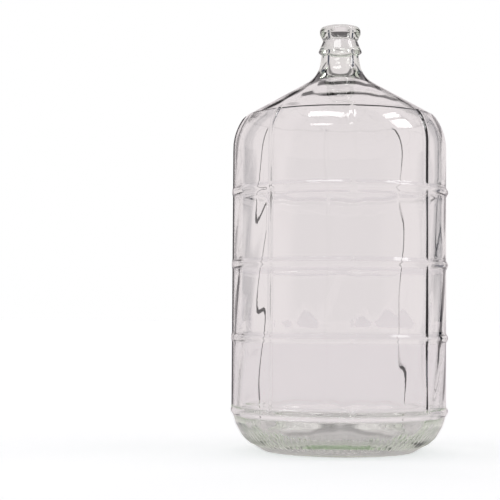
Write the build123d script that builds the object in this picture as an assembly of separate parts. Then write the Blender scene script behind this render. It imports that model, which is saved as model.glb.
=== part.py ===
from build123d import *
from math import acos, cos, degrees, radians, sin, tan
import os

# A large glass demijohn, blown in a ribbed mould as one piece of clear glass.
# Millimetres, +Z up, origin at the centre of the ring that it stands on.

# Body
total_height = 562.0
wall_radius = 140.4
wall_thickness = 4.6

# Heel and base, measured up from the floor and in from the wall
heel_foot_height = 8.7
heel_curve = 55.4
heel_sweep = 59.0
foot_inset = 41.0
foot_width = 11.4
push_up_height = 15.0
floor_thickness = 8.0
inner_heel_curve = 46.0
inner_heel_slope = 28.0

# Shoulder
shoulder_curve = 69.7
shoulder_sweep = 38.4
cone_angle = 29.7

# Neck, measured down from the mouth
flare_drop = 66.7
neck_root_drop = 37.6
neck_root_radius = 24.6
neck_taper = 8.0
flare_curve = 38.5
inner_flare_curve = 42.0

# Finish: the collar, the groove above it and the lip
collar_drop = 33.8
collar_radius = 29.1
collar_round = 1.6
groove_drop = 18.6
groove_radius = 22.8
groove_round = 3.0
lip_depth = 9.6
lip_radius = 27.1
lip_under_round = 3.5
lip_top_round = 5.5
bore_radius = 14.2
mouth_chamfer = 2.0

# Hoops round the body, from just below the top of the heel to well below the shoulder
hoop_count = 4
lowest_hoop_inset = 3.5
highest_hoop_inset = 57.4
hoop_foot_width = 14.0
hoop_crest_width = 4.0
hoop_proud = 2.8

# Ribs up the body and over the shoulder
rib_count = 8
rib_foot_width = 10.0
rib_crest_width = 3.0
rib_proud = 1.7

# Places that the outside and the inside share
foot_outer_radius = wall_radius - foot_inset
foot_inner_radius = foot_outer_radius - foot_width
heel_height = heel_foot_height + heel_curve * sin(radians(heel_sweep))
flare_radius = neck_root_radius + (flare_drop - neck_root_drop) * tan(radians(neck_taper))
flare_height = total_height - flare_drop
cone_normal = Vector(sin(radians(cone_angle)), cos(radians(cone_angle)))
shoulder_edge_radius = wall_radius - shoulder_curve * (1 - cos(radians(shoulder_sweep)))
shoulder_edge_height = flare_height - (shoulder_edge_radius - flare_radius) * tan(radians(cone_angle))
shoulder_edge = Vector(shoulder_edge_radius, shoulder_edge_height)
shoulder_start = shoulder_edge_height - shoulder_curve * sin(radians(shoulder_sweep))
shoulder_centre = Vector(wall_radius - shoulder_curve, shoulder_start)
lowest_hoop_height = heel_height - lowest_hoop_inset
highest_hoop_height = shoulder_start - highest_hoop_inset


def turned(outline):
    """The solid that a closed outline, drawn as radius and height, sweeps round the axis."""
    return revolve(Plane.XZ * make_face(outline), Axis.Z)


def shoulder_arc(inset):
    """The shoulder curve from the top of the wall to the cone, both moved inwards by the inset."""
    curve = shoulder_curve - inset
    reach = (shoulder_edge - shoulder_centre).dot(cone_normal) - inset
    sweep = 90 - cone_angle - degrees(acos(reach / curve))
    return CenterArc(shoulder_centre, curve, 0, sweep)


def outer_base():
    """The pushed-up base, the flat ring that it stands on and the heel up to the wall."""
    inner_foot = Vector(foot_inner_radius, 0)
    outer_foot = Vector(foot_outer_radius, 0)
    heel = CenterArc((wall_radius - heel_curve, heel_height), heel_curve, -heel_sweep, heel_sweep)
    return [
        Line((0, push_up_height), inner_foot),
        Line(inner_foot, outer_foot),
        Line(outer_foot, heel @ 0),
        heel,
    ]


def outer_neck():
    """The cone, the flare, the collar, the groove and the lip, as far as the axis."""
    corners = [
        shoulder_edge,
        Vector(flare_radius, flare_height),
        Vector(neck_root_radius, total_height - neck_root_drop),
        Vector(collar_radius, total_height - collar_drop),
        Vector(groove_radius, total_height - groove_drop),
        Vector(lip_radius, total_height - lip_depth),
        Vector(lip_radius, total_height),
        Vector(0, total_height),
    ]
    rounds = [flare_curve, 0, collar_round, groove_round, lip_under_round, lip_top_round]
    return FilletPolyline(*corners, radius=rounds)


def plain_body():
    """The outside of the bottle without its hoops and ribs, as if it were solid glass."""
    base = outer_base()
    shoulder = shoulder_arc(0)
    neck = outer_neck()
    outline = [
        *base,
        Line(base[-1] @ 1, shoulder @ 0),
        shoulder,
        neck,
        Line(neck @ 1, (0, push_up_height)),
    ]
    return turned(outline)


def hoop_section(height):
    """A hoop's low bump on the wall: a narrow crest between two sloping flanks."""
    root = wall_radius - wall_thickness / 2
    crest = wall_radius + hoop_proud
    foot_reach = hoop_foot_width / 2
    crest_reach = hoop_crest_width / 2
    return Polyline(
        (root, height - foot_reach),
        (wall_radius, height - foot_reach),
        (crest, height - crest_reach),
        (crest, height + crest_reach),
        (wall_radius, height + foot_reach),
        (root, height + foot_reach),
        close=True,
    )


def hoops():
    """The hoops round the body, evenly spaced from the lowest to the highest."""
    span = highest_hoop_height - lowest_hoop_height
    heights = [lowest_hoop_height + span * index / (hoop_count - 1) for index in range(hoop_count)]
    return Part() + [turned(hoop_section(height)) for height in heights]


def rib_section(radius):
    """A rib's low bump, across X, with its foot sunk into a wall of this radius."""
    root = radius - wall_thickness / 2
    crest = radius + rib_proud
    foot_reach = rib_foot_width / 2
    crest_reach = rib_crest_width / 2
    return Polyline(
        (root, -foot_reach),
        (radius, -foot_reach),
        (crest, -crest_reach),
        (crest, crest_reach),
        (radius, foot_reach),
        (root, foot_reach),
        close=True,
    )


def rib():
    """One rib, from the lowest hoop up the wall and on over the shoulder curve to its edge."""
    upright = extrude(make_face(rib_section(wall_radius)), amount=shoulder_start - lowest_hoop_height)
    over = revolve(make_face(rib_section(shoulder_curve)), Axis.Y, revolution_arc=-shoulder_sweep)
    return Pos(0, 0, lowest_hoop_height) * upright + Pos(shoulder_centre.X, 0, shoulder_start) * over


def ribs():
    """The ribs, evenly spaced round the body."""
    first = rib()
    return Part() + [Rot(0, 0, index * 360 / rib_count) * first for index in range(rib_count)]


def cavity():
    """The room inside, with the bore of the neck and the mouth's chamfer."""
    wall = wall_radius - wall_thickness
    floor_edge = Vector(foot_inner_radius, floor_thickness)
    heel_corner = floor_edge + Vector(1, tan(radians(inner_heel_slope))) * (wall - foot_inner_radius)
    shoulder = shoulder_arc(wall_thickness)
    cone_edge = shoulder @ 1
    flare_corner = Vector(bore_radius, cone_edge.Y + (cone_edge.X - bore_radius) * tan(radians(cone_angle)))
    bore_top = Vector(bore_radius, total_height - mouth_chamfer)
    heel = FilletPolyline(
        (0, push_up_height + floor_thickness), floor_edge, heel_corner, shoulder @ 0,
        radius=[0, inner_heel_curve],
    )
    neck = FilletPolyline(cone_edge, flare_corner, bore_top, radius=inner_flare_curve)
    mouth = Polyline(
        neck @ 1,
        (bore_radius + mouth_chamfer, total_height),
        (0, total_height),
        heel @ 0,
    )
    return turned([heel, shoulder, neck, mouth])


def glass_body():
    """The whole bottle in one piece of glass."""
    return plain_body() + hoops() + ribs() - cavity()


os.makedirs("parts", exist_ok=True)
bottle = glass_body()
export_step(bottle, "parts/glass_body.step")
print("glass volume, litres:", round(bottle.volume / 1e6, 3))
print("brimful capacity, litres:", round(cavity().volume / 1e6, 3))
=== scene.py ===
import bpy
import math
import numpy as np
from mathutils import Euler, Matrix


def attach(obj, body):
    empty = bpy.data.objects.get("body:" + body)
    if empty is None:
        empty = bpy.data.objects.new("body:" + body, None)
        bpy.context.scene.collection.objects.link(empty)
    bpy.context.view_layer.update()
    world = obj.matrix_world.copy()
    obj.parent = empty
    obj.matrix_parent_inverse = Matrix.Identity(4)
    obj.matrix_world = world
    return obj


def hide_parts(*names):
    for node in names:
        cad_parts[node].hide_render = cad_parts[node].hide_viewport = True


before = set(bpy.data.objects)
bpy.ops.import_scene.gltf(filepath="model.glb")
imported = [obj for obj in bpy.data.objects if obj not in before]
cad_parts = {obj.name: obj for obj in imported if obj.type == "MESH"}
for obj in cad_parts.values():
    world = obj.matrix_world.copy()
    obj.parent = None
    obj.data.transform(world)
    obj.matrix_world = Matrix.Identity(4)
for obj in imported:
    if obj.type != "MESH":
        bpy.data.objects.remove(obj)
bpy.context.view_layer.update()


# The bottle: one piece of clear glass, blown into a ribbed mould and standing on the ring of its base.
# Its skin is one closed surface, a profile that runs from the middle of the base up the outside,
# over the lip and down the inside, carried once round the upright axis.
OUTSIDE = [  # radius, height and rounding of each corner, from the base up to the mouth
    (0.0, 0.015, 0.0),
    (0.088, 0.0, 0.004),
    (0.0994, 0.0, 0.004),
    (0.1404, 0.0249, 0.0554),
    (0.1404, 0.4212, 0.0680),
    (0.1253, 0.4402, 0.0024),
    (0.0287, 0.4953, 0.0385),
    (0.0246, 0.5244, 0.0008),
    (0.0291, 0.5282, 0.0016),
    (0.0228, 0.5434, 0.0030),
    (0.0271, 0.5524, 0.0035),
    (0.0271, 0.5620, 0.0055),
    (0.0142, 0.5620, 0.0030),
]
INSIDE = [  # the same, from the bore down to the middle of the floor
    (0.0142, 0.4989, 0.0420),
    (0.1217, 0.4375, 0.0040),
    (0.1358, 0.4197, 0.0630),
    (0.1358, 0.0334, 0.0460),
    (0.0880, 0.0080, 0.0200),
    (0.0, 0.0230, 0.0),
]
FINE_STEP, LEAST_ARC_STEPS = 0.0004, 8


def rounded_path(corners, spacing):
    """Points along a path of straight runs joined by tangent arcs, with each point's rounding radius.

    An arc starts at rounding / tan(half the corner's angle) before the corner, and its points turn
    evenly about a centre on the corner's bisector, so it leaves both runs without a kink.
    """
    spots, rounds = corners[:, :2], corners[:, 2]
    points, curves = [spots[:1]], [np.array([np.inf])]
    for here in range(1, len(spots)):
        last = points[-1][-1]
        arc = spots[here:here + 1]
        if here < len(spots) - 1 and rounds[here] > 0:
            back = spots[here - 1] - spots[here]
            on = spots[here + 1] - spots[here]
            back, on = back / np.linalg.norm(back), on / np.linalg.norm(on)
            half = np.arccos(np.clip(back @ on, -1, 1)) / 2
            reach = rounds[here] / np.tan(half)
            middle = (back + on) / np.linalg.norm(back + on)
            centre = spots[here] + middle * rounds[here] / np.sin(half)
            turn = np.pi - 2 * half
            arc_steps = max(int(turn * rounds[here] / spacing), LEAST_ARC_STEPS)
            share = np.linspace(0, 1, arc_steps + 1)[:, None]
            start, end = spots[here] + back * reach - centre, spots[here] + on * reach - centre
            arc = centre + (np.sin((1 - share) * turn) * start + np.sin(share * turn) * end) / np.sin(turn)
        run = np.linalg.norm(arc[0] - last)
        steps = max(int(run / spacing), 1)
        straight = last + (arc[0] - last) * np.linspace(0, 1, steps + 1)[1:, None]
        points += [straight, arc[1:]]
        curves += [np.full(len(straight), np.inf), np.full(len(arc) - 1, rounds[here])]
    return np.concatenate(points), np.concatenate(curves)


# Hoops and ribs stand proud of the outside as low rounded ridges, and a rib sinks into each hoop.
# The inside, which no mould touches, follows them only in part, as wider and lower swellings.
LOWEST_HOOP, HOOP_SPACING, HOOP_COUNT = 0.0527, 0.0956, 4
HOOPS = LOWEST_HOOP + HOOP_SPACING * np.arange(HOOP_COUNT)
HOOP_PROUD, HOOP_HALF = 0.0027, 0.0075
RIB_COUNT, RIB_PROUD, RIB_HALF = 8, 0.0017, 0.0050
RIB_FOOT = HOOPS[0] - 0.002, HOOPS[0] + 0.006  # heights between which a rib rises out of the wall
RIB_TOP = 0.1210, 0.1290  # radii between which it sinks into the shoulder
HOOP_INSIDE, HOOP_INSIDE_HALF = 0.0015, 0.0095
RIB_INSIDE, RIB_INSIDE_HALF = 0.0004, 0.0070


def ridge(offset, half):
    """The square of a cosine: 1 on the crest, and a smooth 0 from half a width away."""
    return np.cos(np.pi / 2 * np.clip(offset / half, -1, 1)) ** 2


def ease(value, start, end):
    """The smooth step from 0 at start to 1 at end."""
    t = np.clip((value - start) / (end - start), 0, 1)
    return t * t * (3 - 2 * t)


# The rows lie close together where the profile curves tightly and where a hoop is, and wide elsewhere.
ROWS_ON_A_CURVE = 0.12  # the spacing of rows there, as a share of its radius
CLOSEST_ROWS, WIDEST_ROWS = 0.0004, 0.007
HOOP_ROWS_OUTSIDE, HOOP_ROWS_INSIDE = 0.0013, 0.0024
fine, curve = rounded_path(np.array(OUTSIDE + INSIDE), FINE_STEP)
length = np.concatenate([[0], np.cumsum(np.linalg.norm(np.diff(fine, axis=0), axis=1))])
mouth = length[np.argmax(fine[:, 1])]
nearest_hoop = np.abs(fine[:, 1:2] - HOOPS).min(axis=1)
on_hoop = np.where(length < mouth, HOOP_ROWS_OUTSIDE, HOOP_ROWS_INSIDE)
for_hoop = np.where(nearest_hoop < HOOP_INSIDE_HALF, on_hoop, WIDEST_ROWS)
for_curve = np.clip(ROWS_ON_A_CURVE * curve, CLOSEST_ROWS, WIDEST_ROWS)
wanted = np.minimum(for_curve, for_hoop)
rows_so_far = np.concatenate([[0], np.cumsum(np.diff(length) / wanted[1:])])
row_count = int(rows_so_far[-1]) + 1
along = np.interp(np.linspace(0, rows_so_far[-1], row_count), rows_so_far, length)
radius = np.interp(along, length, fine[:, 0])
height = np.interp(along, length, fine[:, 1])
tangent = np.stack([np.gradient(radius, along), np.gradient(height, along)], axis=1)
tangent /= np.linalg.norm(tangent, axis=1)[:, None]
outside = along < mouth

# The columns crowd towards each rib: the hyperbolic sine of an even count, scaled to the sector.
COLUMNS, CROWDING = 32, 2.2
sector = 2 * np.pi / RIB_COUNT
even = np.linspace(-1, 1, COLUMNS + 1)[:-1]
across = sector / 2 * np.sinh(CROWDING * even) / np.sinh(CROWDING)
turn = (across + sector * np.arange(RIB_COUNT)[:, None]).ravel()

# The grip under the heel: a ring of short raised bars, on rows that have their own finer columns.
GRIP_BARS, GRIP_PROUD, GRIP_COLUMNS = 96, 0.0008, 8
GRIP_BAR_HALF = 0.36  # half a bar's width, as a share of the bars' spacing
GRIP_LOW, GRIP_HIGH = 0.0088, 0.0225
GRIP_RISE, GRIP_FALL = 0.0015, 0.003  # heights over which the bars start and end
GRIP_LEAST_RADIUS = 0.1
grip_turn = -sector / 2 + 2 * np.pi * np.arange(GRIP_BARS * GRIP_COLUMNS) / (GRIP_BARS * GRIP_COLUMNS)

# The inner wall is a little uneven, as blown glass is: a sum of slow waves round it and up it,
# and rings of ripple on the cone, where the glass was stretched towards the neck.
WAVES, WAVE_DEPTH = 14, 0.00007
WAVES_ROUND, WAVES_UP = (2, 26), (8, 60)  # the least and most: whole waves round, radians a metre up
WAVE_RADII, WAVE_HEIGHTS = (0.03, 0.09), (0.004, 0.03)  # where the waves start from nothing
RING_DEPTH, RING_SPACING = 0.0006, 0.034
RING_START, RING_END = (0.030, 0.042), (0.105, 0.120)
CONE_ABOVE = 0.43
RING_BENDS = [(1.2, 2, 0.6), (0.9, 5, 2.1)]  # size, times round and phase of each bend of the rings
RING_STRENGTH, RING_CHANGE, RING_CHANGES, RING_PHASE = 0.65, 0.35, 3, 0.4
chance = np.random.default_rng(7)
round_waves = chance.integers(*WAVES_ROUND, WAVES)
up_waves = chance.uniform(*WAVES_UP, WAVES)
phases = chance.uniform(0, 2 * np.pi, WAVES)


def swelling(rows, turns, hoop_proud, hoop_half, rib_proud, rib_half):
    """How far hoops and ribs lift the skin: each a ridge, and the ribs fade where a hoop crosses."""
    r, z = radius[rows, None], height[rows, None]
    hoop = ridge(np.abs(z - HOOPS).min(axis=1, keepdims=True), hoop_half)
    rib_length = ease(z, *RIB_FOOT) * ease(r, *RIB_TOP)
    from_rib = (turns + sector / 2) % sector - sector / 2
    rib = ridge(r * from_rib, rib_half) * rib_length
    return hoop_proud * hoop + rib_proud * rib * (1 - hoop)


def inner_relief(rows, turns):
    """The inside's height over its profile: less the hoops and ribs, plus the waves and the cone's rings.

    The waves are a sum of sines of the turn and the length along the profile. The rings are a sine
    of the radius, bent by sines of the turn, and their strength changes round the cone.
    """
    r, z, s = radius[rows, None], height[rows, None], along[rows, None]
    angles = round_waves * turns[None, :, None] + up_waves * s[..., None] + phases
    waves = WAVE_DEPTH * np.sin(angles).sum(axis=2) * ease(r, *WAVE_RADII) * ease(z, *WAVE_HEIGHTS)
    on_cone = ease(r, *RING_START) * (1 - ease(r, *RING_END)) * (z > CONE_ABOVE)
    bend = sum(size * np.sin(times * turns + phase) for size, times, phase in RING_BENDS)
    strength = RING_STRENGTH + RING_CHANGE * np.sin(RING_CHANGES * turns + RING_PHASE)
    rings = RING_DEPTH * strength * np.sin(2 * np.pi * r / RING_SPACING + bend) * on_cone
    return waves + rings - swelling(rows, turns, HOOP_INSIDE, HOOP_INSIDE_HALF, RIB_INSIDE, RIB_INSIDE_HALF)


def outer_relief(rows, turns):
    """The outside's height over its profile: the hoops, the ribs and the grip's bars under the heel."""
    z = height[rows, None]
    bar = ridge((turns * GRIP_BARS / (2 * np.pi) + 0.5) % 1 - 0.5, GRIP_BAR_HALF)
    start = ease(z, GRIP_LOW, GRIP_LOW + GRIP_RISE)
    end = 1 - ease(z, GRIP_HIGH - GRIP_FALL, GRIP_HIGH)
    bar_length = start * end * (radius[rows, None] > GRIP_LEAST_RADIUS)
    return swelling(rows, turns, HOOP_PROUD, HOOP_HALF, RIB_PROUD, RIB_HALF) + GRIP_PROUD * bar * bar_length


def skin(rows, turns, relief):
    """Points of some rows: the profile moved along its own normal by the relief, at each turn."""
    push = relief(rows, turns)
    r = radius[rows, None] + tangent[rows, 1:] * push
    z = height[rows, None] - tangent[rows, :1] * push
    return np.stack([r * np.cos(turns), r * np.sin(turns), z], axis=2).reshape(-1, 3)


def zipped(first, first_turns, second, second_turns):
    """Triangles between two rings with different columns.

    Going round, the next triangle stands on whichever ring's next edge has its middle first.
    """
    middles = [(t + np.append(t[1:], t[0] + 2 * np.pi)) / 2 for t in (first_turns, second_turns)]
    order = np.argsort(np.concatenate(middles), kind="stable")
    steps_first = order < len(first)
    i, j = np.cumsum(steps_first) - steps_first, np.cumsum(~steps_first) - ~steps_first
    a, next_a = first[i % len(first)], first[(i + 1) % len(first)]
    b, next_b = second[j % len(second)], second[(j + 1) % len(second)]
    return np.where(steps_first[:, None], np.stack([a, next_a, b], axis=1), np.stack([a, next_b, b], axis=1))


def quads_between(rows_of_corners):
    """Quads between neighbouring rows of a grid of corner numbers that closes on itself."""
    low, high = rows_of_corners[:-1], rows_of_corners[1:]
    turned = np.roll(rows_of_corners, -1, axis=1)
    return np.stack([low, turned[:-1], turned[1:], high], axis=2).reshape(-1, 4)


# The rows in order, as four blocks of skin: the base, the grip, the rest of the outside, the inside.
# The first and last rows are single points, the poles at the middle of the base and of the floor.
rows = np.arange(1, row_count - 1)
in_grip = (height[rows] > GRIP_LOW) & (height[rows] < GRIP_HIGH) & (radius[rows] > GRIP_LEAST_RADIUS)
gripped = outside[rows] & in_grip
first_grip, last_grip = rows[gripped][0], rows[gripped][-1]
last_outside = rows[outside[rows]][-1]
blocks = [
    (rows[rows < first_grip], turn, outer_relief),
    (rows[gripped], grip_turn, outer_relief),
    (rows[(rows > last_grip) & (rows <= last_outside)], turn, outer_relief),
    (rows[rows > last_outside], turn, inner_relief),
]
points, faces, count = [[[0, 0, height[0]]]], [], 1
last_ring, last_turns = None, None
for block, turns, relief in blocks:
    corners_here = count + np.arange(len(block) * len(turns)).reshape(len(block), len(turns))
    count += corners_here.size
    points.append(skin(block, turns, relief))
    faces += quads_between(corners_here).tolist()
    if last_ring is None:
        base_ring = corners_here[0]
    elif len(turns) == len(last_turns):
        faces += quads_between(np.stack([last_ring, corners_here[0]])).tolist()
    else:
        faces += zipped(last_ring, last_turns, corners_here[0], turns).tolist()
    last_ring, last_turns = corners_here[-1], turns
points.append([[0, 0, height[-1]]])
vertices = np.concatenate(points)
faces += np.stack([np.zeros(len(turn), int), np.roll(base_ring, -1), base_ring], axis=1).tolist()
faces += np.stack([np.full(len(turn), count), last_ring, np.roll(last_ring, -1)], axis=1).tolist()
mesh = bpy.data.meshes.new("bottle")
mesh.from_pydata(vertices.tolist(), [], faces)
mesh.polygons.foreach_set("use_smooth", np.ones(len(mesh.polygons), bool))
bottle = bpy.data.objects.new("bottle", mesh)
bpy.context.scene.collection.objects.link(bottle)
print("bottle:", row_count, "rows,", sum(len(face) - 2 for face in faces), "triangles")

# The glass is colourless where it is thin, and grey-green where the light passes through much of it.
GLASS_IOR = 1.52
GLASS_TINT, TINT_DENSITY = (0.62, 0.76, 0.56, 1.0), 9.0
HEEL_TOP = 0.050
MOST_REFLECTIONS = 3.5  # between the third and the fourth
WAVINESS_SCALE, WAVINESS_DETAIL = 40.0, 1.0
SMEAR_FROM, SMEAR_TO, SMEAR_ROUGHNESS = 0.45, 0.75, 0.012
BUMP_HEIGHT = 0.00003


def maths(tree, operation, *values):
    """The output of a new math node, whose inputs are linked sockets or plain numbers."""
    node = tree.nodes.new("ShaderNodeMath")
    node.operation = operation
    for socket, value in zip(node.inputs, values):
        if isinstance(value, bpy.types.NodeSocket):
            tree.links.new(value, socket)
        else:
            socket.default_value = value
    return node.outputs[0]


glass = bpy.data.materials.new("clear_glass")
glass.use_nodes = True
tree = glass.node_tree
shader = tree.nodes["Principled BSDF"]
shader.inputs["Base Color"].default_value = (1.0, 1.0, 1.0, 1.0)
shader.inputs["Roughness"].default_value = 0.0
shader.inputs["IOR"].default_value = GLASS_IOR
shader.inputs["Transmission Weight"].default_value = 1.0
tint = tree.nodes.new("ShaderNodeVolumeAbsorption")
tint.inputs["Color"].default_value = GLASS_TINT
tint.inputs["Density"].default_value = TINT_DENSITY
tree.links.new(tint.outputs["Volume"], tree.nodes["Material Output"].inputs["Volume"])
# Light that has turned back inside the thick heel a few times goes straight on, where a renderer's
# limit on reflections would otherwise leave it black.
spot = tree.nodes.new("ShaderNodeTexCoord")
spot_parts = tree.nodes.new("ShaderNodeSeparateXYZ")
light_path = tree.nodes.new("ShaderNodeLightPath")
tree.links.new(spot.outputs["Object"], spot_parts.inputs[0])
above_heel = maths(tree, "GREATER_THAN", spot_parts.outputs["Z"], HEEL_TOP)
early = maths(tree, "LESS_THAN", light_path.outputs["Glossy Depth"], MOST_REFLECTIONS)
tree.links.new(maths(tree, "MAXIMUM", above_heel, early), shader.inputs["Alpha"])
# The skin has faint smears and the slow waviness of blown glass, both from one soft noise.
waviness = tree.nodes.new("ShaderNodeTexNoise")
waviness.inputs["Scale"].default_value = WAVINESS_SCALE
waviness.inputs["Detail"].default_value = WAVINESS_DETAIL
smear = tree.nodes.new("ShaderNodeMapRange")
smear.inputs["From Min"].default_value = SMEAR_FROM
smear.inputs["From Max"].default_value = SMEAR_TO
smear.inputs["To Max"].default_value = SMEAR_ROUGHNESS
bump = tree.nodes.new("ShaderNodeBump")
bump.inputs["Distance"].default_value = BUMP_HEIGHT
tree.links.new(spot.outputs["Object"], waviness.inputs["Vector"])
tree.links.new(waviness.outputs[0], smear.inputs["Value"])
tree.links.new(smear.outputs["Result"], shader.inputs["Roughness"])
tree.links.new(waviness.outputs[0], bump.inputs["Height"])
tree.links.new(bump.outputs["Normal"], shader.inputs["Normal"])
mesh.materials.append(glass)
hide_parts("glass_body")
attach(bottle, "root")


# The floor: a plain white sheet, just under the ring that the bottle stands on.
# It glows a little, more to the camera than to the glass, which shows it in a softer grey.
FLOOR_REACH, FLOOR_DROP = 60.0, 0.0003
FLOOR_COLOUR = (0.80, 0.78, 0.79, 1.0)
GLOW_IN_GLASS, GLOW_TO_CAMERA = (0.285, 0.265, 0.271, 1.0), (0.545, 0.580, 0.570, 1.0)
corners = FLOOR_REACH * np.array([[-1, -1, 0], [1, -1, 0], [1, 1, 0], [-1, 1, 0]])
sheet = bpy.data.meshes.new("floor")
sheet.from_pydata((corners - [0, 0, FLOOR_DROP]).tolist(), [], [[0, 1, 2, 3]])
floor = bpy.data.objects.new("floor", sheet)
bpy.context.scene.collection.objects.link(floor)
paper = bpy.data.materials.new("white_paper")
paper.use_nodes = True
paper_tree = paper.node_tree
paper_shader = paper_tree.nodes["Principled BSDF"]
paper_shader.inputs["Base Color"].default_value = FLOOR_COLOUR
paper_shader.inputs["Roughness"].default_value = 1.0
paper_shader.inputs["Specular IOR Level"].default_value = 0.0
paper_shader.inputs["Emission Strength"].default_value = 1.0
eye = paper_tree.nodes.new("ShaderNodeLightPath")
glow = paper_tree.nodes.new("ShaderNodeMix")
glow.data_type = "RGBA"
glow.inputs["A"].default_value = GLOW_IN_GLASS
glow.inputs["B"].default_value = GLOW_TO_CAMERA
paper_tree.links.new(eye.outputs["Is Camera Ray"], glow.inputs["Factor"])
paper_tree.links.new(glow.outputs["Result"], paper_shader.inputs["Emission Color"])
sheet.materials.append(paper)


# The light: a pale studio all round, with dark strips at its sides and a dark header behind the
# bottle, which draw the lines in the glass. The camera itself sees plain white there.
WHITE, DARK = (0.823, 0.761, 0.78, 1.0), (0.03, 0.04, 0.07, 1.0)
BACK_GREY = (0.45, 0.44, 0.46, 1.0)
AROUND = [  # degrees to the right of straight behind the bottle, and what stands there
    (-180, BACK_GREY),
    (-125, BACK_GREY),
    (-118, WHITE),
    (-68, WHITE),
    (-64, DARK),
    (-46, DARK),
    (-43, WHITE),
    (43, WHITE),
    (46, DARK),
    (64, DARK),
    (68, WHITE),
    (118, WHITE),
    (125, BACK_GREY),
    (180, BACK_GREY),
]
HEADER = [  # degrees up, and the share of the light that the header leaves there
    (-90, 1.0),
    (23, 1.0),
    (24.5, 0.12),
    (30, 0.12),
    (32, 0.95),
    (90, 0.95),
]
HEADER_SPAN = [  # degrees to the right of straight behind, and how much of the header stands there
    (-180, 0.0),
    (-36, 0.0),
    (-31, 1.0),
    (31, 1.0),
    (36, 0.0),
    (180, 0.0),
]
world = bpy.data.worlds.new("studio")
world.use_nodes = True
bpy.context.scene.world = world
sky = world.node_tree
nodes, links = sky.nodes, sky.links
backdrop = nodes["Background"]


def ramp(stops, low, high):
    """A colour ramp whose stops are given as angles between low and high, with straight blends."""
    node = nodes.new("ShaderNodeValToRGB")
    elements = node.color_ramp.elements
    while len(elements) < len(stops):
        elements.new(0.5)
    for element, (angle, colour) in zip(elements, stops):
        element.position = (angle - low) / (high - low)
        element.color = colour
    return node


def greys(stops):
    """The same stops with each share as a grey colour."""
    return [(angle, (share, share, share, 1.0)) for angle, share in stops]


toward = nodes.new("ShaderNodeTexCoord")
toward_parts = nodes.new("ShaderNodeSeparateXYZ")
links.new(toward.outputs["Generated"], toward_parts.inputs[0])
bearing = maths(sky, "ARCTAN2", toward_parts.outputs["X"], toward_parts.outputs["Y"])
bearing_share = maths(sky, "MULTIPLY_ADD", bearing, 0.5 / math.pi, 0.5)
climb = maths(sky, "ARCSINE", toward_parts.outputs["Z"])
climb_share = maths(sky, "MULTIPLY_ADD", climb, 1 / math.pi, 0.5)
around = ramp(AROUND, -180, 180)
header = ramp(greys(HEADER), -90, 90)
header_span = ramp(greys(HEADER_SPAN), -180, 180)
links.new(bearing_share, around.inputs[0])
links.new(climb_share, header.inputs[0])
links.new(bearing_share, header_span.inputs[0])
studio = nodes.new("ShaderNodeMix")
studio.data_type, studio.blend_type = "RGBA", "MULTIPLY"
links.new(header_span.outputs["Color"], studio.inputs["Factor"])
links.new(around.outputs["Color"], studio.inputs["A"])
links.new(header.outputs["Color"], studio.inputs["B"])
seen = nodes.new("ShaderNodeMix")
seen.data_type = "RGBA"
seen.inputs["B"].default_value = (1.0, 1.0, 1.0, 1.0)
path = nodes.new("ShaderNodeLightPath")
links.new(path.outputs["Is Camera Ray"], seen.inputs["Factor"])
links.new(studio.outputs["Result"], seen.inputs["A"])
links.new(seen.outputs["Result"], backdrop.inputs["Color"])
backdrop.inputs["Strength"].default_value = 1.0


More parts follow.
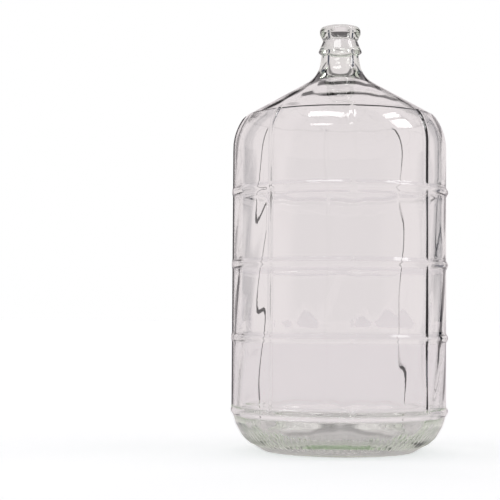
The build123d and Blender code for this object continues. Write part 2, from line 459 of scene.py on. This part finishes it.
# Four soft lamps stand above the front, two to the left and two to the right, and make the
# highlights on the shoulder. They are hidden from diffuse rays, so the floor stays even.
def lamp(name, place, aim, wide, high, radiance):
    """A rectangular soft lamp at a place, turned to face an aim, whose face has a set radiance."""
    light = bpy.data.lights.new(name, "AREA")
    light.shape = "RECTANGLE"
    light.size, light.size_y = wide, high
    light.energy = radiance * math.pi * wide * high
    thing = bpy.data.objects.new(name, light)
    thing.location = place
    direction = np.array(aim, float) - np.array(place, float)
    tilt = math.atan2(math.hypot(direction[0], direction[1]), -direction[2])
    heading = math.atan2(direction[1], direction[0]) - math.pi / 2
    thing.rotation_euler = (tilt, 0.0, heading)
    thing.visible_camera = thing.visible_diffuse = False
    bpy.context.scene.collection.objects.link(thing)


lamp("left_lamp", place=(-0.5, -0.9, 2.05), aim=(0, 0, 0.3), wide=1.0, high=0.35, radiance=6.0)
lamp("left_low_lamp", place=(-0.58, -1.1, 1.2), aim=(0, 0, 0.4), wide=0.55, high=0.10, radiance=5.0)
lamp("right_lamp", place=(1.22, -0.44, 1.85), aim=(0, 0, 0.3), wide=0.55, high=0.25, radiance=6.0)
lamp("right_low_lamp", place=(1.22, -0.44, 1.25), aim=(0, 0, 0.4), wide=0.5, high=0.35, radiance=5.0)


# The camera stands a little to the left of the bottle's front rib, low and well back. It looks up
# and to the left, so the bottle stands right of the middle, and rolls as the photograph leans.
CAMERA_AZIMUTH, CAMERA_ROLL = math.radians(7.0), math.radians(0.39)
CAMERA_DISTANCE, CAMERA_HEIGHT, CAMERA_LENS = 1.881, 0.1746, 101.9
LENS_PIXELS = 1415  # the lens, in pixels of the photograph
AXIS_PIXELS_RIGHT, HORIZON_PIXELS_DOWN = 89.5, 67.0  # both from the middle of the frame
camera = bpy.data.objects.new("camera", bpy.data.cameras.new("camera"))
camera.data.lens = CAMERA_LENS
camera_x = -CAMERA_DISTANCE * math.sin(CAMERA_AZIMUTH)
camera_y = -CAMERA_DISTANCE * math.cos(CAMERA_AZIMUTH)
camera.location = (camera_x, camera_y, CAMERA_HEIGHT)
yaw_left = math.atan2(AXIS_PIXELS_RIGHT, LENS_PIXELS)
pitch_up = math.atan2(HORIZON_PIXELS_DOWN, LENS_PIXELS)
level = Euler((math.pi / 2 + pitch_up, 0.0, yaw_left - CAMERA_AZIMUTH)).to_matrix()
camera.rotation_euler = (level @ Matrix.Rotation(CAMERA_ROLL, 3, "Z")).to_euler()
bpy.context.scene.collection.objects.link(camera)
bpy.context.scene.camera = camera

bpy.context.scene.view_settings.view_transform = "Standard"
